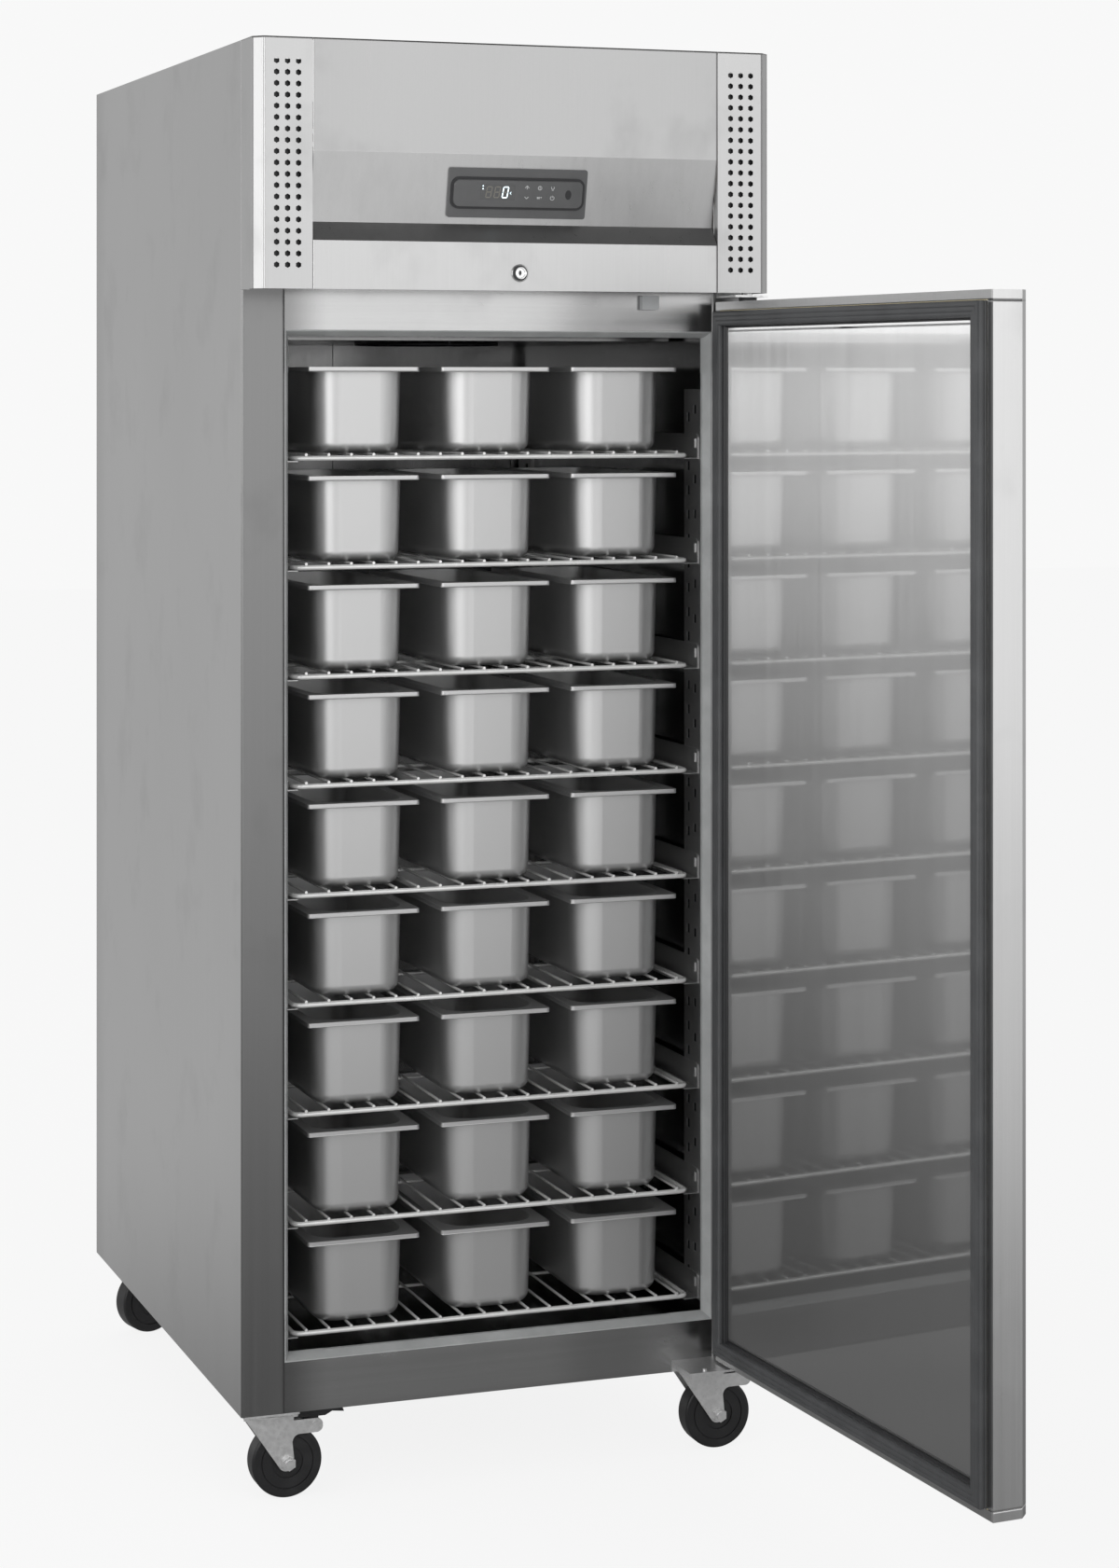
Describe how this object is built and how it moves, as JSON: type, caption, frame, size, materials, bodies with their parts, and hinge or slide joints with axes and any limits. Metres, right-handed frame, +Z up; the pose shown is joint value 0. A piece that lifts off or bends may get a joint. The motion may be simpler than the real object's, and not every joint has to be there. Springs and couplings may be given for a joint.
{
  "type": "commercial upright freezer",
  "caption": "Stainless upright freezer on castors with an open hinged door, wire shelves with steel pans, a machine room behind a vented canopy, and a controller and lock.",
  "frame": {"origin": "on the floor under the centre of the cabinet body's footprint, without the canopy and the open door", "axes": "+Z up, -Y to the door's side, +X to the right as seen from the front"},
  "size_m": [0.8015, 1.7253, 2.017],
  "materials": {
    "stainless": "satin",
    "stainless_inside": "satin",
    "pan_steel": "satin",
    "galvanised": "satin",
    "foam": "matte",
    "grey_plastic": "matte",
    "dark_plastic": "satin",
    "gasket": "matte",
    "chrome": "polished",
    "zinc": "satin",
    "black_enamel": "gloss",
    "black_steel": "satin",
    "fins": "satin",
    "copper": "satin",
    "shelf_coating": "gloss",
    "tyre": "matte"
  },
  "bodies": {
    "cabinet": {"side_panel_left": "stainless", "side_panel_right": "stainless", "rear_panel": "galvanised", "base_pan": "galvanised", "insulation": "foam", "inner_liner": "stainless_inside", "breaker_frame": "grey_plastic", "face_frame": "stainless", "vent_grilles": "stainless", "fascia": "stainless", "control_panel": "dark_plastic", "lock_housing": "chrome", "hinge_brackets": "zinc", "door_switch": "grey_plastic", "rack_uprights": "stainless_inside", "shelf_runners": "stainless_inside", "air_duct_panels": "stainless_inside", "compressor": "black_enamel", "condenser": "fins", "fan_mounts": "black_steel", "electrical_box": "grey_plastic", "evaporator": "fins", "refrigerant_pipes": "copper", "castor_plates": "zinc"},
    "door": {"door_skin": "stainless", "door_foam": "foam", "door_inner_panel": "stainless_inside", "door_gasket": "gasket", "hinge_bushes": "dark_plastic"},
    "lock": {"lock_cylinder": "chrome"},
    "condenser_rotor": {"condenser_fan": "dark_plastic"},
    "evaporator_rotor": {"evaporator_fan": "dark_plastic"},
    "shelf_1": {"shelf_1": "shelf_coating", "pans_1": "pan_steel"},
    "shelf_2": {"shelf_2": "shelf_coating", "pans_2": "pan_steel"},
    "shelf_3": {"shelf_3": "shelf_coating", "pans_3": "pan_steel"},
    "shelf_4": {"shelf_4": "shelf_coating", "pans_4": "pan_steel"},
    "shelf_5": {"shelf_5": "shelf_coating", "pans_5": "pan_steel"},
    "shelf_6": {"shelf_6": "shelf_coating", "pans_6": "pan_steel"},
    "shelf_7": {"shelf_7": "shelf_coating", "pans_7": "pan_steel"},
    "shelf_8": {"shelf_8": "shelf_coating", "pans_8": "pan_steel"},
    "shelf_9": {"shelf_9": "shelf_coating", "pans_9": "pan_steel"},
    "castor_front_left": {"castor_fork_front_left": "zinc"},
    "wheel_front_left": {"castor_wheel_front_left": "tyre"},
    "castor_front_right": {"castor_fork_front_right": "zinc"},
    "wheel_front_right": {"castor_wheel_front_right": "tyre"},
    "castor_rear_left": {"castor_fork_rear_left": "zinc"},
    "wheel_rear_left": {"castor_wheel_rear_left": "tyre"},
    "castor_rear_right": {"castor_fork_rear_right": "zinc"},
    "wheel_rear_right": {"castor_wheel_rear_right": "tyre"},
    "pedal_front_left": {"brake_pedal_front_left": "dark_plastic"},
    "pedal_front_right": {"brake_pedal_front_right": "dark_plastic"}
  },
  "joints": [
    {"name": "door_hinge", "type": "hinge", "parent": "cabinet", "child": "door", "pos_m": [0.352, -0.524, 0.825], "axis": [0, 0, 1], "range_deg": [-94.2, 15.8]},
    {"name": "lock_turn", "type": "hinge", "parent": "cabinet", "child": "lock", "pos_m": [0, -0.541, 1.699], "axis": [0, 1, 0], "range_deg": [0, 90]},
    {"name": "shelf_1_slide", "type": "slide", "parent": "cabinet", "child": "shelf_1", "axis": [0, -1, 0], "range_m": [0, 0.38]},
    {"name": "shelf_2_slide", "type": "slide", "parent": "cabinet", "child": "shelf_2", "axis": [0, -1, 0], "range_m": [0, 0.38]},
    {"name": "shelf_3_slide", "type": "slide", "parent": "cabinet", "child": "shelf_3", "axis": [0, -1, 0], "range_m": [0, 0.38]},
    {"name": "shelf_4_slide", "type": "slide", "parent": "cabinet", "child": "shelf_4", "axis": [0, -1, 0], "range_m": [0, 0.38]},
    {"name": "shelf_5_slide", "type": "slide", "parent": "cabinet", "child": "shelf_5", "axis": [0, -1, 0], "range_m": [0, 0.38]},
    {"name": "shelf_6_slide", "type": "slide", "parent": "cabinet", "child": "shelf_6", "axis": [0, -1, 0], "range_m": [0, 0.38]},
    {"name": "shelf_7_slide", "type": "slide", "parent": "cabinet", "child": "shelf_7", "axis": [0, -1, 0], "range_m": [0, 0.38]},
    {"name": "shelf_8_slide", "type": "slide", "parent": "cabinet", "child": "shelf_8", "axis": [0, -1, 0], "range_m": [0, 0.38]},
    {"name": "shelf_9_slide", "type": "slide", "parent": "cabinet", "child": "shelf_9", "axis": [0, -1, 0], "range_m": [0, 0.38]},
    {"name": "swivel_front_left", "type": "hinge", "parent": "cabinet", "child": "castor_front_left", "pos_m": [-0.336, -0.43, 0.12], "axis": [0, 0, 1], "continuous": true},
    {"name": "wheel_spin_front_left", "type": "hinge", "parent": "castor_front_left", "child": "wheel_front_left", "pos_m": [-0.308, -0.43, 0.05], "axis": [0, 1, 0], "continuous": true},
    {"name": "swivel_front_right", "type": "hinge", "parent": "cabinet", "child": "castor_front_right", "pos_m": [0.31, -0.43, 0.12], "axis": [0, 0, 1], "continuous": true},
    {"name": "wheel_spin_front_right", "type": "hinge", "parent": "castor_front_right", "child": "wheel_front_right", "pos_m": [0.338, -0.43, 0.05], "axis": [0, 1, 0], "continuous": true},
    {"name": "swivel_rear_left", "type": "hinge", "parent": "cabinet", "child": "castor_rear_left", "pos_m": [-0.33, 0.43, 0.12], "axis": [0, 0, 1], "continuous": true},
    {"name": "wheel_spin_rear_left", "type": "hinge", "parent": "castor_rear_left", "child": "wheel_rear_left", "pos_m": [-0.30283, 0.43677, 0.05], "axis": [-0.2419, 0.9703, 0], "continuous": true},
    {"name": "swivel_rear_right", "type": "hinge", "parent": "cabinet", "child": "castor_rear_right", "pos_m": [0.31, 0.43, 0.12], "axis": [0, 0, 1], "continuous": true},
    {"name": "wheel_spin_rear_right", "type": "hinge", "parent": "castor_rear_right", "child": "wheel_rear_right", "pos_m": [0.338, 0.43, 0.05], "axis": [0, 1, 0], "continuous": true},
    {"name": "brake_front_left", "type": "hinge", "parent": "castor_front_left", "child": "pedal_front_left", "pos_m": [-0.27, -0.43, 0.101], "axis": [0, 1, 0], "range_deg": [0, 6]},
    {"name": "brake_front_right", "type": "hinge", "parent": "castor_front_right", "child": "pedal_front_right", "pos_m": [0.376, -0.43, 0.101], "axis": [0, 1, 0], "range_deg": [0, 6]},
    {"name": "condenser_fan_spin", "type": "hinge", "parent": "cabinet", "child": "condenser_rotor", "pos_m": [0.04, -0.3647, 1.79], "axis": [0, 1, 0], "continuous": true},
    {"name": "evaporator_fan_spin", "type": "hinge", "parent": "cabinet", "child": "evaporator_rotor", "pos_m": [0, -0.113, 1.6075], "axis": [0, 0, 1], "continuous": true}
  ]
}
